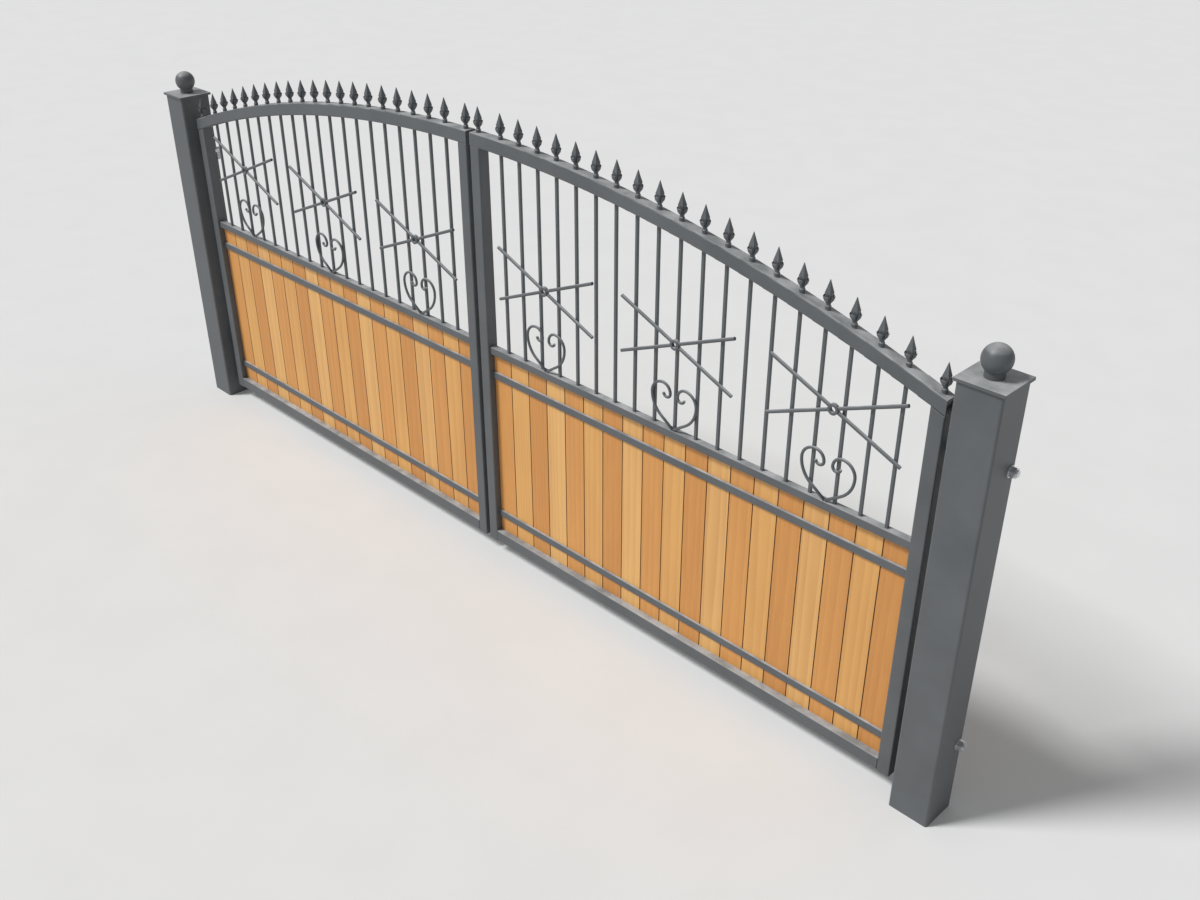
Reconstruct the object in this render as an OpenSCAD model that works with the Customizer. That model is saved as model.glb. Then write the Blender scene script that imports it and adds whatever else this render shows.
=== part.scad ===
// Double-leaf driveway gate between two posts: arched tops with spear finials,
// crosses and scroll hearts over upright bars, wooden boards below.
// X runs from the left post to the right post, -Y is the front, Z is up.
// The origin is the middle of the left post's foot.

/* [Opening] */
// Clear width between the posts
clear_opening = 4000; // [3000:10:5000]
// Gap between a post and the leaf that hangs on it
post_gap = 35; // [30:1:50]
// Gap between the two leaves where they meet
meeting_gap = 20; // [12:1:40]
// Height of a leaf's underside above the foot of the posts
ground_gap = 66; // [40:1:120]
// Height of the arch's top at the hinge end of a leaf
end_height = 1428; // [1380:4:1600]
// Rise of the arch from the hinge end to the middle of the gate
arch_rise = 332; // [200:4:420]

/* [Posts] */
// Side of a square post
post_side = 140; // [120:1:180]
// Wall of a post
post_wall = 5; // [3:0.5:8]
// Radius of a post's upright corners
post_corner = 8; // [6:0.5:12]
// Height of a post from its foot to the underside of its cap
post_height = 1517; // [1450:5:1800]
// Thickness of the plate that closes a post's foot
foot_plate = 8; // [5:1:15]
// How far a cap reaches past its post
cap_overhang = 7; // [4:0.5:15]
// Thickness of a cap
cap_thickness = 10; // [6:1:20]
// Diameter of a ball
ball_diameter = 86; // [80:1:120]
// Height of a ball's centre above its cap
ball_lift = 52; // [50:1:66]
// Wall of a ball
ball_wall = 3; // [2:0.5:6]
// Diameter of the neck under a ball
neck_diameter = 56; // [48:1:70]

/* [Leaf frame] */
// Side of the square tube of stiles, arch and bottom rail
frame_tube = 48; // [44:1:54]
// Wall of that tube
frame_wall = 3; // [2:0.5:5]
// Outer corner radius of that tube
frame_corner = 5; // [4:0.5:7]
// Distance of a leaf's middle plane in front of the posts' middle
leaf_offset = 5; // [0:1:15]
// Side of the square tube of the middle rail
mid_tube = 30; // [26:1:36]
// Wall of the middle rail
mid_wall = 2.5; // [2:0.5:4]
// Outer corner radius of the middle rail
mid_corner = 4; // [3:0.5:5]
// Height of the middle rail's top
mid_height = 947; // [900:1:1000]

/* [Boards] */
// Number of boards in a leaf
board_count = 19; // [14:1:22]
// Joint left open between two boards
board_joint = 3; // [2:0.5:6]
// Thickness of a board
board_thickness = 12; // [8:1:14]
// Height of a trim bar
trim_height = 30; // [24:1:40]
// Thickness of a trim bar
trim_thickness = 9; // [7:0.5:9]
// Radius of a trim bar's outer edges
trim_round = 4; // [2:0.5:5]
// Distance of the upper trim bar below the middle rail
upper_trim_drop = 76; // [50:1:120]
// Distance of the lower trim bar above the bottom rail
lower_trim_rise = 67; // [50:1:120]

/* [Bars, crosses and hearts] */
// Number of upright bars in a leaf
bar_count = 19; // [13:1:23]
// Side of a square bar
bar_side = 10; // [8:0.5:12]
// Number of crosses and hearts in a leaf
motif_count = 3; // [2:1:4]
// Diameter of a cross's rods
cross_rod = 12; // [10:0.5:14]
// Share of its field that a cross is wide
cross_share = 0.775; // [0.6:0.005:0.85]
// Height of a cross from end to end
cross_height = 200; // [160:2:240]
// Height of a cross's middle above the middle rail
cross_lift = 317; // [290:1:330]
// How far a cross's ring covers the ends of its rods
ring_lap = 1.3; // [1:0.1:4]
// Bore of a cross's ring
ring_bore = 20; // [16:1:22]
// How far a cross's ring stands out in front of its rods
ring_proud = 2; // [1:0.5:5]
// Diameter of a heart's rod
scroll_rod = 10; // [8:0.5:12]
// Height of a heart's widest place above the middle rail
heart_belly = 118; // [110:1:124]
// Distance of a heart's widest place from its middle
heart_half = 97; // [92:1:104]
// Slope of a heart's straight lower limbs
heart_slope = 34; // [28:1:38]
// Radius of a heart's shoulder
shoulder_radius = 47; // [44:1:50]
// Radius of a scroll's inner side
inner_radius = 34; // [32:1:36]
// Radius of a scroll's curled end
curl_radius = 15; // [14:0.5:16]

/* [Finials] */
// Height of a finial above the arch
finial_height = 90; // [80:1:120]
// Diameter of a finial's socket
socket_diameter = 18; // [14:0.5:20]
// Diameter across a finial's petals
petal_spread = 36; // [32:1:40]
// Width of a finial's point across its flats
point_width = 20; // [16:0.5:22]

/* [Hinges] */
// Height of the upper hinges
upper_hinge_height = 1254; // [1150:1:1280]
// Height of the lower hinges
lower_hinge_height = 277; // [240:1:360]
// Diameter of an eye's bore and of its bolt
bolt_diameter = 20; // [16:1:22]
// Running clearance of a pin in its eye, on the radius
pin_clearance = 0.05; // [0.03:0.01:0.08]
// Outer diameter of an eye
eye_diameter = 38; // [34:1:42]
// Height of an eye
eye_height = 30; // [24:1:40]
// Gap between an eye and the leaf that swings round it
swing_gap = 5; // [5:0.5:8]
// Thickness of a nut
nut_height = 16; // [12:1:20]
// Width of a nut across its flats
nut_flats = 30; // [28:1:34]
// Diameter of a washer
washer_diameter = 37; // [34:1:40]
// Thickness of a washer
washer_thickness = 3; // [2:0.5:4]
// Length of thread that stands out of the outer nut
thread_end = 6; // [3:1:15]
// Thickness of the lug that carries a pin
lug_thickness = 14; // [10:1:20]

/* [Hidden] */
span = clear_opening + post_side;
leaf_in = meeting_gap / 2;
leaf_out = clear_opening / 2 - post_gap;
leaf_y = -leaf_offset;
half_tube = frame_tube / 2;
field_in = leaf_in + frame_tube;
field_out = leaf_out - frame_tube;
field = field_out - field_in;
arch_radius = (leaf_out * leaf_out + arch_rise * arch_rise) / (2 * arch_rise);
arch_z = end_height + arch_rise - arch_radius;
arch_bottom = arch_radius - frame_tube;
crown = end_height + arch_rise;
arch_fine = 720;
rail_top = ground_gap + frame_tube;
mid_bottom = mid_height - mid_tube;
mid_y = leaf_y;
board_back = mid_y + mid_tube / 2;
board_front = board_back - board_thickness;
board_pitch = field / board_count;
bar_pitch = field / (bar_count + 1);
motif_pitch = field / motif_count;
bar_front = leaf_y - bar_side / 2;
cross_y = bar_front - cross_rod / 2;
scroll_y = bar_front - scroll_rod / 2;
rod_sides = 10;
scroll_reach = scroll_rod / 2 / cos(180 / rod_sides);
seat_clearance = 0.1;
cross_z = mid_height + cross_lift;
leaf_back = leaf_y + half_tube;
hinge_y = leaf_back + swing_gap + eye_diameter / 2;
hinge_x = leaf_out - eye_diameter / 2;
post_in = clear_opening / 2;
post_out = post_in + post_side;
plug_thickness = 4;
plug_clearance = 0.1;
hole_clearance = 0.5;
lug_gap = 1;
pin_tip = 6;
overcut = 1;
rod_parting = 0.1;
ring_back = 1;
steel = [0.32, 0.34, 0.36];
zinc = [0.74, 0.75, 0.77];
wood = [0.83, 0.60, 0.36];

// Each side is drawn from the middle of the gate outwards, then set in place.
module on_right() {
  translate([span / 2, 0, 0]) children();
}

module on_left() {
  translate([span / 2, 0, 0]) mirror([1, 0, 0]) children();
}

// Square with rounded corners, centred
module soft_square(side, corner) {
  flat = side - 2 * corner;
  square([flat, side], center = true);
  square([side, flat], center = true);
  for (x = [-1, 1], y = [-1, 1])
    translate([x * flat / 2, y * flat / 2]) circle(r = corner, $fn = 32);
}

// Section of a square tube, centred
module tube_section(side, wall, corner) {
  difference() {
    soft_square(side, corner);
    soft_square(side - 2 * wall, corner - wall / 2);
  }
}

// Everything under the arch's curve of the given radius
module under_arch(radius) {
  translate([0, 0, arch_z]) rotate([90, 0, 0])
    cylinder(r = radius, h = 4 * frame_tube, center = true, $fn = arch_fine);
}

// A section swept along the arch between two angles, counted from the +X direction
module arch_sweep(from, to) {
  translate([0, leaf_y, arch_z]) rotate([90, 0, 0]) rotate([0, 0, from])
    rotate_extrude(angle = to - from, $fn = arch_fine) translate([arch_radius - half_tube, 0]) children();
}

// Slice of the leaf between two upright planes
module leaf_slice(from, to) {
  translate([from, leaf_y - frame_tube, 0]) cube([to - from, 2 * frame_tube, crown + frame_tube]);
}

module post() {
  bore = bolt_diameter + 2 * hole_clearance;
  translate([post_in + post_side / 2, 0, 0]) difference() {
    linear_extrude(post_height) soft_square(post_side, post_corner);
    translate([0, 0, foot_plate]) linear_extrude(post_height)
      soft_square(post_side - 2 * post_wall, post_corner - post_wall / 2);
    for (z = [lower_hinge_height, upper_hinge_height])
      translate([0, hinge_y, z]) rotate([0, 90, 0])
        cylinder(d = bore, h = 2 * post_side, center = true, $fn = 48);
  }
}

module post_cap() {
  side = post_side + 2 * cap_overhang;
  translate([post_in + (post_side - side) / 2, -side / 2, post_height]) cube([side, side, cap_thickness]);
}

module ball_finial() {
  bore = neck_diameter - 4 * ball_wall;
  translate([post_in + post_side / 2, 0, post_height + cap_thickness]) difference() {
    union() {
      translate([0, 0, ball_lift]) sphere(d = ball_diameter, $fn = 96);
      cylinder(d = neck_diameter, h = ball_lift - ball_diameter / 8, $fn = 64);
    }
    translate([0, 0, ball_lift]) sphere(d = ball_diameter - 2 * ball_wall, $fn = 96);
    translate([0, 0, -overcut]) cylinder(d = bore, h = ball_lift, $fn = 64);
  }
}

module hinge_eye_bolts() {
  outer_end = post_out + washer_thickness + nut_height + thread_end;
  for (z = [lower_hinge_height, upper_hinge_height])
    translate([hinge_x, hinge_y, z]) difference() {
      union() {
        cylinder(d = eye_diameter, h = eye_height, center = true, $fn = 64);
        rotate([0, 90, 0]) cylinder(d = bolt_diameter, h = outer_end - hinge_x, $fn = 48);
      }
      cylinder(d = bolt_diameter, h = 2 * eye_height, center = true, $fn = 64);
    }
}

// A nut with its washer, seated on the plane x = 0 and pointing along +X
module seated_nut() {
  rotate([0, 90, 0]) difference() {
    union() {
      cylinder(d = washer_diameter, h = washer_thickness, $fn = 64);
      cylinder(d = nut_flats / cos(30), h = washer_thickness + nut_height, $fn = 6);
    }
    translate([0, 0, -overcut])
      cylinder(d = bolt_diameter, h = washer_thickness + nut_height + 2 * overcut, $fn = 48);
  }
}

module hinge_nuts() {
  for (z = [lower_hinge_height, upper_hinge_height]) {
    translate([post_out, hinge_y, z]) seated_nut();
    translate([post_in, hinge_y, z]) mirror([1, 0, 0]) seated_nut();
  }
}

// Upright tube from the leaf's underside to the arch, closed at the foot
module stile(from) {
  intersection() {
    translate([from + half_tube, leaf_y, ground_gap]) difference() {
      linear_extrude(crown) soft_square(frame_tube, frame_corner);
      translate([0, 0, frame_wall]) linear_extrude(crown)
        soft_square(frame_tube - 2 * frame_wall, frame_corner - frame_wall / 2);
    }
    under_arch(arch_bottom);
  }
}

// Bent tube, cut upright at both ends, with a plug let into each end
module top_rail() {
  low = acos(leaf_out / arch_bottom);
  plug_side = frame_tube - 2 * frame_wall - 2 * plug_clearance;
  plug_angle = plug_thickness / arch_radius * 180 / PI;
  outer_plug = acos(leaf_out / (arch_radius - frame_wall));
  inner_plug = acos(leaf_in / (arch_bottom + frame_wall)) - plug_angle;
  intersection() {
    arch_sweep(low - 1, 91) tube_section(frame_tube, frame_wall, frame_corner);
    leaf_slice(leaf_in, leaf_out);
  }
  for (at = [outer_plug, inner_plug])
    arch_sweep(at, at + plug_angle) soft_square(plug_side, frame_corner - frame_wall / 2);
}

// Tube lying between the two stiles, with its top at the given height
module cross_tube(top, side, wall, corner) {
  translate([field_in, leaf_y, top - side / 2]) rotate([90, 0, 90])
    linear_extrude(field) tube_section(side, wall, corner);
}

module mid_rail() {
  cross_tube(mid_height, mid_tube, mid_wall, mid_corner);
}

module bottom_rail() {
  cross_tube(rail_top, frame_tube, frame_wall, frame_corner);
}

// Flat bar with two rounded edges, its back on the plane y = 0 and facing -Y
module trim_bar() {
  rotate([90, 0, 90]) linear_extrude(field) {
    translate([trim_round - trim_thickness, 0]) square([trim_thickness - trim_round, trim_height]);
    translate([-trim_thickness, trim_round]) square([trim_thickness, trim_height - 2 * trim_round]);
    for (z = [trim_round, trim_height - trim_round])
      translate([trim_round - trim_thickness, z]) circle(r = trim_round, $fn = 32);
  }
}

module trim_bars() {
  for (z = [rail_top + lower_trim_rise, mid_bottom - upper_trim_drop - trim_height]) {
    translate([field_in, board_front, z]) trim_bar();
    translate([field_in, board_back, z]) mirror([0, 1, 0]) trim_bar();
  }
}

module boards() {
  for (i = [0 : board_count - 1])
    translate([field_in + i * board_pitch + board_joint / 2, board_front, rail_top])
      cube([board_pitch - board_joint, board_thickness, mid_bottom - rail_top]);
}

module bars() {
  intersection() {
    for (i = [1 : bar_count])
      translate([field_in + i * bar_pitch - bar_side / 2, leaf_y - bar_side / 2, mid_height])
        cube([bar_side, bar_side, crown - mid_height]);
    under_arch(arch_bottom);
  }
}

// Half section of the four-sided point, drawn from its waist to its tip
module point_profile() {
  half = point_width / 2;
  waist = finial_height * 0.24;
  belly = finial_height * 0.55;
  neck = finial_height * 0.76;
  polygon([
    [-half * 0.55, waist], [half * 0.55, waist], [half, belly], [half * 0.54, neck],
    [half * 0.06, finial_height], [-half * 0.06, finial_height], [-half * 0.54, neck], [-half, belly]
  ]);
}

// Section of one petal, leaning outwards with a lip at its tip
module petal_profile() {
  low = finial_height * 0.17;
  mid = finial_height * 0.32;
  tip = finial_height * 0.46;
  root = socket_diameter * 0.28;
  reach = petal_spread / 2;
  skin = petal_spread * 0.07;
  polygon([
    [root - skin, low], [root, low], [reach * 0.86, mid], [reach, tip - skin], [reach - skin * 0.6, tip],
    [reach * 0.86 - skin, mid + skin], [root - skin, low + 2 * skin]
  ]);
}

// Turned socket and stem that carry a finial's petals
module finial_stem() {
  foot = socket_diameter / 2;
  rotate_extrude($fn = 40) polygon([
    [0, -frame_tube / 4], [foot, -frame_tube / 4], [foot, finial_height * 0.12],
    [foot * 0.78, finial_height * 0.14], [foot * 0.78, finial_height * 0.18],
    [foot * 0.9, finial_height * 0.25], [foot * 0.5, finial_height * 0.3], [0, finial_height * 0.3]
  ]);
}

// Spear with four petals, standing at the origin
module spear() {
  petal_angle = 56;
  finial_stem();
  for (turn = [0 : 3])
    rotate([0, 0, turn * 90 - petal_angle / 2]) rotate_extrude(angle = petal_angle, $fn = 40) petal_profile();
  intersection() {
    rotate([90, 0, 0]) linear_extrude(point_width, center = true) point_profile();
    rotate([90, 0, 90]) linear_extrude(point_width, center = true) point_profile();
  }
}

function arch_top(x) = arch_z + sqrt(arch_radius * arch_radius - x * x);

module spear_finials() {
  stands = concat(
    [leaf_in + half_tube, leaf_out - half_tube],
    [for (i = [1 : bar_count]) field_in + i * bar_pitch]
  );
  difference() {
    for (x = stands) translate([x, leaf_y, arch_top(x)]) spear();
    under_arch(arch_radius);
  }
}

// Four rods that part just outside the ring holding their inner ends
module crosses() {
  half_width = motif_pitch * cross_share / 2;
  half_height = cross_height / 2;
  lean = atan2(half_height, half_width);
  reach = sqrt(half_width * half_width + half_height * half_height);
  start = cross_rod / 2 / min(sin(lean), cos(lean)) + rod_parting;
  ring_radius = sqrt(start * start + cross_rod * cross_rod / 4) + ring_lap;
  for (i = [0 : motif_count - 1])
    translate([field_in + (i + 0.5) * motif_pitch, cross_y, cross_z]) {
      for (turn = [lean, 180 - lean, 180 + lean, -lean])
        rotate([0, 90 - turn, 0]) translate([0, 0, start]) cylinder(d = cross_rod, h = reach - start, $fn = 32);
      translate([0, cross_rod / 2 - ring_back, 0]) rotate([90, 0, 0]) difference() {
        cylinder(r = ring_radius, h = cross_rod - ring_back + ring_proud, $fn = 64);
        translate([0, 0, -overcut]) cylinder(d = ring_bore, h = 2 * cross_rod, $fn = 48);
      }
    }
}

// Points of an arc as [x, z, direction of travel], turning to the left
function arc_points(centre, radius, from, to, steps) =
  [for (i = [1 : steps]) let (a = from + (to - from) * i / steps)
    [centre[0] + radius * cos(a), centre[1] + radius * sin(a), a + 90]];

// Ring of points round a path point; a flat of the rod faces the bars
function rod_ring(p) =
  [for (k = [0 : rod_sides - 1]) let (t = 360 * (k + 0.5) / rod_sides, out = scroll_reach * sin(t))
    [p[0] - out * sin(p[2]), scroll_reach * cos(t), p[1] + out * cos(p[2])]];

// Rod swept along a path of such points
module swept_rod(path) {
  rings = len(path);
  points = [for (p = path) each rod_ring(p)];
  walls = [for (i = [0 : rings - 2], k = [0 : rod_sides - 1]) let (n = (k + 1) % rod_sides)
    [i * rod_sides + k, i * rod_sides + n, (i + 1) * rod_sides + n, (i + 1) * rod_sides + k]];
  first = [for (k = [rod_sides - 1 : -1 : 0]) k];
  last = [for (k = [0 : rod_sides - 1]) (rings - 1) * rod_sides + k];
  polyhedron(points, concat(walls, [first, last]));
}

// Right half of a heart: straight limb, belly, shoulder, inner side and curled end
module scroll() {
  foot_z = scroll_reach * cos(heart_slope) + seat_clearance;
  foot_x = scroll_reach * sin(heart_slope) + seat_clearance;
  rise = heart_belly - foot_z;
  swell = heart_half - foot_x;
  belly_radius = (rise - swell * tan(heart_slope)) * cos(heart_slope) / (1 - sin(heart_slope));
  belly_x = heart_half - belly_radius;
  start = heart_slope - 90;
  shoulder_x = heart_half - shoulder_radius;
  inner_z = heart_belly + shoulder_radius - inner_radius;
  curl_x = shoulder_x - inner_radius + curl_radius;
  swept_rod(concat(
    [[foot_x, foot_z, heart_slope]],
    arc_points([belly_x, heart_belly], belly_radius, start, start, 1),
    arc_points([belly_x, heart_belly], belly_radius, start, 0, 9),
    arc_points([shoulder_x, heart_belly], shoulder_radius, 0, 90, 10),
    arc_points([shoulder_x, inner_z], inner_radius, 90, 180, 10),
    arc_points([curl_x, inner_z], curl_radius, 180, 350, 14)
  ));
}

module scroll_hearts() {
  for (i = [0 : motif_count - 1])
    translate([field_in + (i + 0.5) * motif_pitch, scroll_y, mid_height]) {
      scroll();
      mirror([1, 0, 0]) scroll();
    }
}

module hinge_pins() {
  pin_diameter = bolt_diameter - 2 * pin_clearance;
  lug_z = eye_height / 2 + lug_gap;
  drop = lug_z + eye_height / 2 + pin_tip;
  for (z = [lower_hinge_height, upper_hinge_height])
    translate([hinge_x, hinge_y, z]) {
      translate([0, 0, lug_z]) cylinder(d = eye_diameter, h = lug_thickness, $fn = 64);
      translate([-eye_diameter / 2, leaf_back - hinge_y, lug_z])
        cube([eye_diameter, hinge_y - leaf_back, lug_thickness]);
      translate([0, 0, lug_z - drop]) cylinder(d = pin_diameter, h = drop + lug_thickness, $fn = 64);
    }
}

module left_post() { color(steel) on_left() post(); }
module left_post_cap() { color(steel) on_left() post_cap(); }
module left_ball_finial() { color(steel) on_left() ball_finial(); }
module left_hinge_eye_bolts() { color(zinc) on_left() hinge_eye_bolts(); }
module left_hinge_nuts() { color(zinc) on_left() hinge_nuts(); }
module left_hinge_stile() { color(steel) on_left() stile(field_out); }
module left_meeting_stile() { color(steel) on_left() stile(leaf_in); }
module left_top_rail() { color(steel) on_left() top_rail(); }
module left_mid_rail() { color(steel) on_left() mid_rail(); }
module left_bottom_rail() { color(steel) on_left() bottom_rail(); }
module left_trim_bars() { color(steel) on_left() trim_bars(); }
module left_boards() { color(wood) on_left() boards(); }
module left_bars() { color(steel) on_left() bars(); }
module left_spear_finials() { color(steel) on_left() spear_finials(); }
module left_crosses() { color(steel) on_left() crosses(); }
module left_scroll_hearts() { color(steel) on_left() scroll_hearts(); }
module left_hinge_pins() { color(zinc) on_left() hinge_pins(); }

module right_post() { color(steel) on_right() post(); }
module right_post_cap() { color(steel) on_right() post_cap(); }
module right_ball_finial() { color(steel) on_right() ball_finial(); }
module right_hinge_eye_bolts() { color(zinc) on_right() hinge_eye_bolts(); }
module right_hinge_nuts() { color(zinc) on_right() hinge_nuts(); }
module right_hinge_stile() { color(steel) on_right() stile(field_out); }
module right_meeting_stile() { color(steel) on_right() stile(leaf_in); }
module right_top_rail() { color(steel) on_right() top_rail(); }
module right_mid_rail() { color(steel) on_right() mid_rail(); }
module right_bottom_rail() { color(steel) on_right() bottom_rail(); }
module right_trim_bars() { color(steel) on_right() trim_bars(); }
module right_boards() { color(wood) on_right() boards(); }
module right_bars() { color(steel) on_right() bars(); }
module right_spear_finials() { color(steel) on_right() spear_finials(); }
module right_crosses() { color(steel) on_right() crosses(); }
module right_scroll_hearts() { color(steel) on_right() scroll_hearts(); }
module right_hinge_pins() { color(zinc) on_right() hinge_pins(); }

left_post();
left_post_cap();
left_ball_finial();
left_hinge_eye_bolts();
left_hinge_nuts();
left_hinge_stile();
left_meeting_stile();
left_top_rail();
left_mid_rail();
left_bottom_rail();
left_trim_bars();
left_boards();
left_bars();
left_spear_finials();
left_crosses();
left_scroll_hearts();
left_hinge_pins();
right_post();
right_post_cap();
right_ball_finial();
right_hinge_eye_bolts();
right_hinge_nuts();
right_hinge_stile();
right_meeting_stile();
right_top_rail();
right_mid_rail();
right_bottom_rail();
right_trim_bars();
right_boards();
right_bars();
right_spear_finials();
right_crosses();
right_scroll_hearts();
right_hinge_pins();
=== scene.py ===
import math

import bmesh
import bpy
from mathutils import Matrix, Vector


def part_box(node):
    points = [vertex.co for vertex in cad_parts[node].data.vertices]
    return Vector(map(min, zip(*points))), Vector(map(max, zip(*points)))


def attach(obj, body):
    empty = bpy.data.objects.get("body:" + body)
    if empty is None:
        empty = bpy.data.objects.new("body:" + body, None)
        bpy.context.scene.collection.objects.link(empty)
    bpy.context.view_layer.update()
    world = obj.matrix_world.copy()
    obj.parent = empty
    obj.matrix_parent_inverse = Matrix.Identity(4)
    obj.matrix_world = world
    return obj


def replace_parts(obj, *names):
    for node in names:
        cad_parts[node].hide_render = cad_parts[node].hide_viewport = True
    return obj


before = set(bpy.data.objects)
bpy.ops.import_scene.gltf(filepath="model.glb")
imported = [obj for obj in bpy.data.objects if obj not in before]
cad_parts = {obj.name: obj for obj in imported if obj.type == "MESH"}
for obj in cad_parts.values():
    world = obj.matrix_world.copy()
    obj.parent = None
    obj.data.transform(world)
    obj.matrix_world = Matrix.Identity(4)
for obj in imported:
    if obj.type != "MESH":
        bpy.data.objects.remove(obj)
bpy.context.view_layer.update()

scene = bpy.context.scene
SIDES = ("left", "right")
STEEL_NODES = ("post", "post_cap", "ball_finial", "hinge_stile", "meeting_stile", "top_rail", "mid_rail",
               "bottom_rail", "trim_bars", "bars", "spear_finials", "crosses", "scroll_hearts")
ZINC_NODES = ("hinge_eye_bolts", "hinge_nuts", "hinge_pins")
SOFT_EDGES = {"post_cap": 0.0012, "bars": 0.0009, "boards": 0.0012}

# Sizes of the solid model that the added pieces follow, in metres
POST_MIDDLE = {"left": 0.0, "right": 4.14}
NUT_FACE = 0.089  # from a post's middle to the outer side of a nut
HINGE_Y = 0.043
HINGE_HEIGHTS = {"upper": 1.254, "lower": 0.277}
OUTER_THREAD, INNER_THREAD = 0.006, 0.014  # thread lengths past the nuts
MID_RAIL_TOP = 0.947
HEART_PITCH = 1.859 / 3
BOARD_COUNT = 19
BOARD_JOINT = 0.003


class Graph:
    """Short way to write a node material."""

    def __init__(self, name):
        self.material = bpy.data.materials.new(name)
        self.material.use_nodes = True
        self.tree = self.material.node_tree
        self.shader = self.tree.nodes["Principled BSDF"]
        self.coords = self.add("ShaderNodeTexCoord").outputs["Object"]

    def add(self, kind, **settings):
        node = self.tree.nodes.new(kind)
        for key, value in settings.items():
            setattr(node, key, value)
        return node

    def link(self, source, target):
        self.tree.links.new(source, target)

    def feed(self, socket, value):
        if isinstance(value, bpy.types.NodeSocket):
            self.link(value, socket)
        else:
            socket.default_value = value

    def math(self, operation, a, b=0.0):
        node = self.add("ShaderNodeMath", operation=operation)
        self.feed(node.inputs[0], a)
        self.feed(node.inputs[1], b)
        return node.outputs[0]

    def stretch(self, scale, source=None):
        node = self.add("ShaderNodeMapping")
        self.link(source or self.coords, node.inputs["Vector"])
        node.inputs["Scale"].default_value = scale
        return node.outputs["Vector"]

    def noise(self, vector, scale, detail=4.0, rough=0.55):
        node = self.add("ShaderNodeTexNoise")
        self.link(vector, node.inputs["Vector"])
        node.inputs["Scale"].default_value = scale
        node.inputs["Detail"].default_value = detail
        node.inputs["Roughness"].default_value = rough
        return node.outputs["Fac"]

    def span(self, value, low, high, to_low=0.0, to_high=1.0):
        node = self.add("ShaderNodeMapRange")
        self.link(value, node.inputs["Value"])
        for key, number in (("From Min", low), ("From Max", high), ("To Min", to_low), ("To Max", to_high)):
            node.inputs[key].default_value = number
        return node.outputs["Result"]

    def ramp(self, value, stops, interpolation="LINEAR"):
        node = self.add("ShaderNodeValToRGB")
        node.color_ramp.interpolation = interpolation
        elements = node.color_ramp.elements
        while len(elements) < len(stops):
            elements.new(0.5)
        for element, (place, colour) in zip(elements, stops):
            element.position = place
            element.color = (*colour, 1.0)
        self.link(value, node.inputs["Fac"])
        return node.outputs["Color"]

    def mix(self, factor, a, b):
        node = self.add("ShaderNodeMix", data_type="RGBA")
        self.feed(node.inputs["Factor"], factor)
        for name, value in (("A", a), ("B", b)):
            socket = [s for s in node.inputs if s.name == name and s.type == "RGBA"][0]
            self.feed(socket, (*value, 1.0) if isinstance(value, tuple) else value)
        return [s for s in node.outputs if s.type == "RGBA"][0]

    def bump(self, height, strength, distance):
        node = self.add("ShaderNodeBump")
        self.link(height, node.inputs["Height"])
        node.inputs["Strength"].default_value = strength
        node.inputs["Distance"].default_value = distance
        self.link(node.outputs["Normal"], self.shader.inputs["Normal"])

    def set(self, **inputs):
        for key, value in inputs.items():
            self.feed(self.shader.inputs[key.replace("_", " ")], value)


def steel_material():
    """Anthracite powder coat: fine grain, cloudy tone, and a paler grey on what faces up, partly dust and
    partly painted top light.
    """
    g = Graph("anthracite_steel")
    cloud = g.noise(g.coords, 5.0, 5.0)
    speck = g.noise(g.coords, 900.0, 2.0)
    tone = g.ramp(g.span(cloud, 0.3, 0.7), ((0.0, (0.080, 0.088, 0.095)), (1.0, (0.112, 0.121, 0.129))))
    tone = g.mix(g.span(speck, 0.42, 0.72, 0.0, 0.35), tone, (0.165, 0.175, 0.183))
    normal = g.add("ShaderNodeSeparateXYZ")
    g.link(g.add("ShaderNodeNewGeometry").outputs["Normal"], normal.inputs[0])
    # Upward faces are blended towards pale grey: partly dust, partly painted top light that makes tops
    # brighter than the sides.
    lying = g.span(normal.outputs["Z"], 0.55, 1.0)
    dust_and_top_light = g.math("MULTIPLY", lying, g.span(g.noise(g.coords, 14.0, 6.0), 0.35, 0.7, 0.3, 0.85))
    g.set(Base_Color=g.mix(dust_and_top_light, tone, (0.56, 0.57, 0.575)))
    g.set(Roughness=g.span(cloud, 0.3, 0.7, 0.42, 0.56), Metallic=0.0)
    g.shader.inputs["Specular IOR Level"].default_value = 0.45
    g.bump(speck, 0.25, 0.0004)
    return g.material


def zinc_material():
    """Bright zinc plating with crystalline patches and fine turning marks."""
    g = Graph("zinc_plated_steel")
    cells = g.add("ShaderNodeTexVoronoi")
    g.link(g.coords, cells.inputs["Vector"])
    cells.inputs["Scale"].default_value = 260.0
    marks = g.noise(g.stretch((1.0, 1.0, 14.0)), 320.0, 3.0)
    value = g.math("ADD", g.math("MULTIPLY", cells.outputs["Distance"], 0.6), g.math("MULTIPLY", marks, 0.5))
    g.set(Base_Color=g.ramp(g.span(value, 0.2, 0.9), ((0.0, (0.50, 0.51, 0.53)), (1.0, (0.74, 0.75, 0.77)))))
    g.set(Roughness=g.span(marks, 0.3, 0.7, 0.26, 0.42), Metallic=0.85)
    g.bump(marks, 0.2, 0.0003)
    return g.material


BOARD_TONES = ((0.67, 0.305, 0.082), (0.73, 0.385, 0.118), (0.61, 0.262, 0.066), (0.77, 0.44, 0.155))


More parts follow.
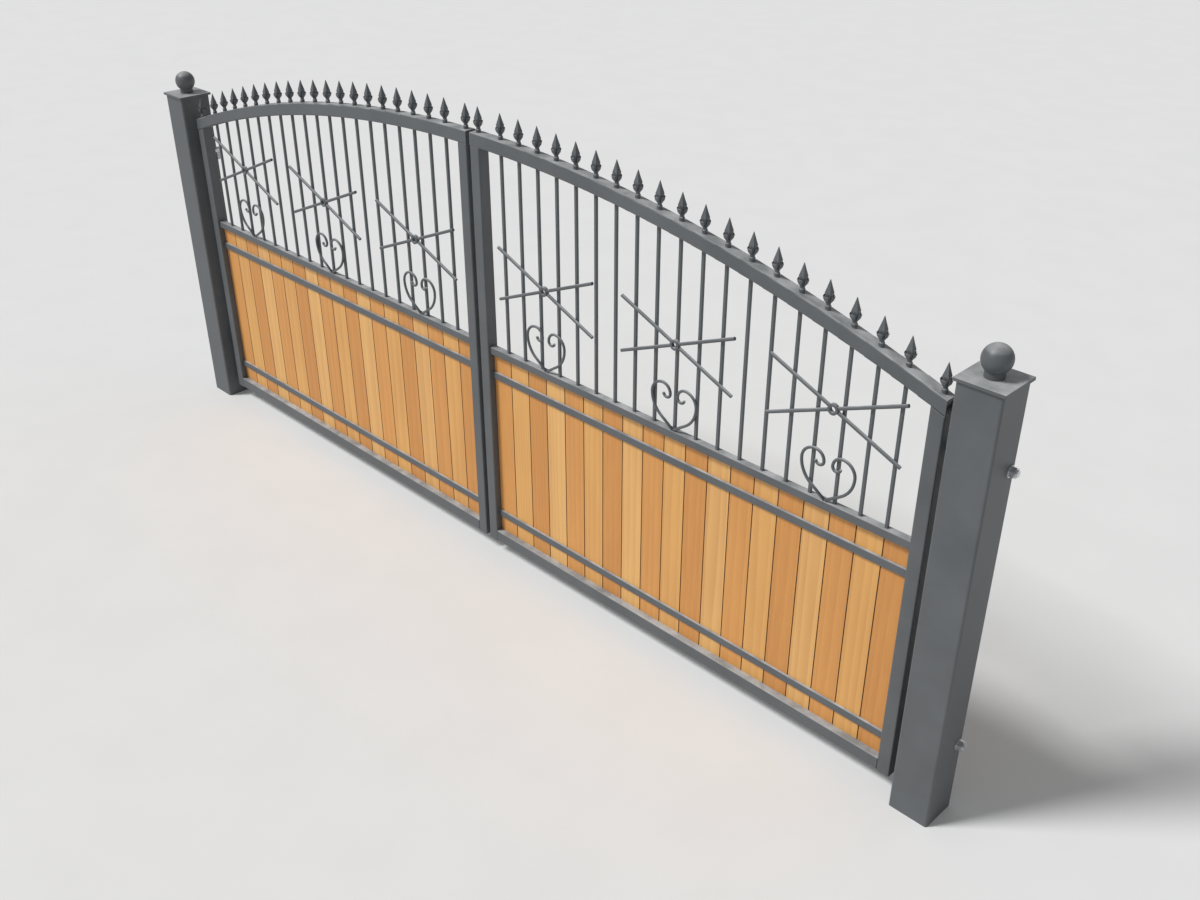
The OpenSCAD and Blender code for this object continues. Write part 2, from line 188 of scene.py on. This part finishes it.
def board_material(side):
    """Oiled softwood; each board has its own tone, and grain that runs along it."""
    g = Graph(f"{side}_wood_boards")
    low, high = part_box(f"{side}_boards")
    pitch = (high[0] - low[0] + BOARD_JOINT) / BOARD_COUNT
    split = g.add("ShaderNodeSeparateXYZ")
    g.link(g.coords, split.inputs[0])
    along = g.math("DIVIDE", g.math("SUBTRACT", split.outputs["X"], low[0] - BOARD_JOINT / 2), pitch)
    index = g.math("FLOOR", along)
    place = g.math("DIVIDE", g.math("ADD", g.math("FLOORED_MODULO", index, 4.0), 0.5), 4.0)
    base = g.ramp(place, tuple((i / 4, tone) for i, tone in enumerate(BOARD_TONES)), "CONSTANT")
    shift = g.add("ShaderNodeCombineXYZ")
    for axis, step in (("X", 0.37), ("Y", 1.7), ("Z", 2.9)):
        g.link(g.math("MULTIPLY", index, step), shift.inputs[axis])
    moved = g.add("ShaderNodeVectorMath", operation="ADD")
    g.link(g.coords, moved.inputs[0])
    g.link(shift.outputs[0], moved.inputs[1])
    wander = g.noise(g.stretch((3.0, 3.0, 0.7), moved.outputs[0]), 2.2, 2.0)
    wave = g.add("ShaderNodeTexWave", wave_type="RINGS", rings_direction="Z", wave_profile="SAW")
    g.link(g.stretch((1.0, 1.0, 0.045), moved.outputs[0]), wave.inputs["Vector"])
    wave.inputs["Scale"].default_value = 26.0
    wave.inputs["Distortion"].default_value = 5.0
    wave.inputs["Detail"].default_value = 2.0
    wave.inputs["Detail Scale"].default_value = 0.6
    fibre = g.noise(g.stretch((1.0, 1.0, 0.02), moved.outputs[0]), 420.0, 3.0, 0.6)
    rings = g.math("MULTIPLY", wave.outputs["Fac"], g.span(wander, 0.3, 0.7, 0.5, 1.0))
    dark = g.mix(g.span(rings, 0.1, 1.0, 0.0, 0.34), base, (0.36, 0.13, 0.035))
    fine = g.mix(g.span(fibre, 0.35, 0.75, 0.0, 0.26), dark, (0.85, 0.49, 0.145))
    worn = g.mix(g.span(wander, 0.35, 0.65, 0.0, 0.22), fine, (0.52, 0.22, 0.06))
    # Near-black strip along each board's edges: painted shade in the gaps between the boards.
    beside = g.math("ABSOLUTE", g.math("SUBTRACT", g.math("FRACT", along), 0.5))
    painted_gap_shade = g.span(g.math("ADD", beside, g.math("MULTIPLY", fibre, 0.008)), 0.474, 0.492, 0.0, 0.92)
    g.set(Base_Color=g.mix(painted_gap_shade, worn, (0.05, 0.022, 0.01)))
    g.set(Roughness=g.span(fibre, 0.3, 0.7, 0.46, 0.66))
    g.bump(g.math("ADD", fibre, g.math("MULTIPLY", rings, 0.5)), 0.3, 0.0006)
    return g.material


def dress(node, material, bevel=0.0):
    """Gives a CAD node its material and, where asked, softened edges."""
    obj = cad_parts[node]
    obj.data.materials.clear()
    obj.data.materials.append(material)
    if bevel:
        weld = obj.modifiers.new("weld", "WELD")
        weld.merge_threshold = 0.00002
        soften = obj.modifiers.new("soften", "BEVEL")
        soften.width = bevel
        soften.segments = 2
        soften.limit_method = "ANGLE"
        soften.angle_limit = math.radians(40)


def arc(centre, radius, start, end, steps):
    """Points of an arc as (x, z, heading), the first point left out."""
    turns = [math.radians(start + (end - start) * i / steps) for i in range(1, steps + 1)]
    return [(centre[0] + radius * math.cos(a), centre[1] + radius * math.sin(a), a + math.pi / 2)
            for a in turns]


def heart_path():
    """Centre line of a heart's right half, from its foot to its curled end."""
    slope, half, belly, reach, seat = math.radians(34), 0.097, 0.118, 0.005257, 0.0001
    shoulder, inner, curl = 0.047, 0.034, 0.015
    foot = (reach * math.sin(slope) + seat, reach * math.cos(slope) + seat)
    rise, swell = belly - foot[1], half - foot[0]
    radius = (rise - swell * math.tan(slope)) * math.cos(slope) / (1 - math.sin(slope))
    inner_z = belly + shoulder - inner
    return ([(*foot, slope)]
            + arc((half - radius, belly), radius, -56, -56, 1)
            + arc((half - radius, belly), radius, -56, 0, 20)
            + arc((half - shoulder, belly), shoulder, 0, 90, 20)
            + arc((half - shoulder, inner_z), inner, 90, 180, 18)
            + arc((half - shoulder - inner + curl, inner_z), curl, 180, 350, 28))


def add_rod(mesh, path, origin, mirror, radius=0.005, sides=14):
    """Adds a round rod along a path in the XZ plane; both ends are flat."""
    rings = []
    for x, z, heading in path:
        ring = []
        for k in range(sides):
            t = 2 * math.pi * k / sides
            out = radius * math.sin(t)
            ring.append(mesh.verts.new((origin[0] + mirror * (x - out * math.sin(heading)),
                                        origin[1] + radius * math.cos(t),
                                        origin[2] + z + out * math.cos(heading))))
        rings.append(ring)
    for a, b in zip(rings, rings[1:]):
        for k in range(sides):
            n = (k + 1) % sides
            mesh.faces.new((a[k], a[n], b[n], b[k])).smooth = True
    mesh.faces.new(rings[0])
    mesh.faces.new(rings[-1])


def heart_rods(side):
    """Round scroll rods in place of the many-sided ones of the solid model."""
    low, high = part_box(f"{side}_scroll_hearts")
    first = (low[0] + high[0]) / 2 - HEART_PITCH
    mesh = bmesh.new()
    path = heart_path()
    for i in range(3):
        for mirror in (1, -1):
            add_rod(mesh, path, (first + i * HEART_PITCH, (low[1] + high[1]) / 2, MID_RAIL_TOP), mirror)
    bmesh.ops.recalc_face_normals(mesh, faces=mesh.faces)
    return finish_piece(mesh, f"{side}_scroll_rods", f"{side}_leaf", "anthracite_steel")


def thread(name, start, end, z):
    """Rolled thread round an open end of a hinge bolt, along X; its inner side lies inside the bolt."""
    pitch, core, root, crest, sides = 0.0025, 0.0096, 0.01002, 0.0108, 40
    step = 1 if end > start else -1
    turns = int(abs(end - start) / pitch)
    profile = [(core, 0.0), (root, 0.0)]
    for i in range(turns):
        profile += [(crest, (i + 0.4) * pitch), (crest, (i + 0.6) * pitch), (root, (i + 1) * pitch)]
    profile += [(core, turns * pitch)]
    mesh = bmesh.new()
    rings = [[mesh.verts.new((start + step * along, HINGE_Y + radius * math.cos(2 * math.pi * k / sides),
                              z + radius * math.sin(2 * math.pi * k / sides))) for k in range(sides)]
             for radius, along in profile]
    for a, b in zip(rings, rings[1:] + rings[:1]):
        for k in range(sides):
            n = (k + 1) % sides
            mesh.faces.new((a[k], a[n], b[n], b[k]))
    bmesh.ops.recalc_face_normals(mesh, faces=mesh.faces)
    return finish_piece(mesh, name, "posts", "zinc_plated_steel")


def finish_piece(mesh, name, body, slot):
    """Turns a bmesh into an object that moves with a body."""
    data = bpy.data.meshes.new(name)
    mesh.to_mesh(data)
    mesh.free()
    obj = bpy.data.objects.new(name, data)
    scene.collection.objects.link(obj)
    data.materials.append(steel if slot == "anthracite_steel" else zinc)
    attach(obj, body)
    return obj


steel = steel_material()
zinc = zinc_material()
for side in SIDES:
    for node in STEEL_NODES:
        dress(f"{side}_{node}", steel, SOFT_EDGES.get(node, 0.0))
    for node in ZINC_NODES:
        dress(f"{side}_{node}", zinc)
    dress(f"{side}_boards", board_material(side), SOFT_EDGES["boards"])
    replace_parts(heart_rods(side), f"{side}_scroll_hearts")
    outward = -1 if side == "left" else 1
    outer = POST_MIDDLE[side] + outward * NUT_FACE
    inner = POST_MIDDLE[side] - outward * NUT_FACE
    for place, height in HINGE_HEIGHTS.items():
        thread(f"{side}_{place}_outer_thread", outer, outer + outward * OUTER_THREAD, height)
        thread(f"{side}_{place}_inner_thread", inner, inner - outward * INNER_THREAD, height)

# Pale floor, soft ambient light and one wide sun from the front left
floor_mesh = bpy.data.meshes.new("floor")
size = 60.0
corners = [(-size, -size, 0), (size, -size, 0), (size, size, 0), (-size, size, 0)]
floor_mesh.from_pydata(corners, [], [(0, 1, 2, 3)])
floor = bpy.data.objects.new("floor", floor_mesh)
scene.collection.objects.link(floor)
paving = Graph("pale_floor")
grain = paving.noise(paving.coords, 3.0, 6.0)
tones = ((0.3, (0.755, 0.755, 0.75)), (0.7, (0.775, 0.775, 0.77)))
paving.set(Base_Color=paving.ramp(grain, tones), Roughness=0.9)
floor_mesh.materials.append(paving.material)

world = bpy.data.worlds.new("studio")
scene.world = world
world.use_nodes = True
tree = world.node_tree
background = tree.nodes["Background"]
background.inputs["Color"].default_value = (0.86, 0.87, 0.88, 1.0)
background.inputs["Strength"].default_value = 0.38
# What the camera sees past the floor, close to the floor's own tone
backdrop = tree.nodes.new("ShaderNodeBackground")
backdrop.inputs["Color"].default_value = (0.76, 0.76, 0.75, 1.0)
shown = tree.nodes.new("ShaderNodeMixShader")
tree.links.new(tree.nodes.new("ShaderNodeLightPath").outputs["Is Camera Ray"], shown.inputs["Fac"])
tree.links.new(background.outputs[0], shown.inputs[1])
tree.links.new(backdrop.outputs[0], shown.inputs[2])
tree.links.new(shown.outputs[0], tree.nodes["World Output"].inputs["Surface"])

sun_data = bpy.data.lights.new("key", "SUN")
sun_data.energy = 2.7
sun_data.angle = math.radians(14)
sun = bpy.data.objects.new("key", sun_data)
sun.rotation_euler = Vector((0.40, 0.50, -0.77)).to_track_quat("-Z", "Y").to_euler()
scene.collection.objects.link(sun)

# Camera, fitted to the picture
camera_data = bpy.data.cameras.new("camera")
camera_data.sensor_fit = "HORIZONTAL"
camera_data.sensor_width = 36.0
camera_data.lens = 37.361
camera = bpy.data.objects.new("camera", camera_data)
camera.location = (5.4569, -2.7582, 2.9722)
azimuth, elevation = math.radians(45), math.radians(30)
look = Vector((-math.sin(azimuth) * math.cos(elevation), math.cos(azimuth) * math.cos(elevation),
               -math.sin(elevation)))
camera.rotation_euler = look.to_track_quat("-Z", "Y").to_euler()
scene.collection.objects.link(camera)
scene.camera = camera
scene.view_settings.view_transform = "Standard"
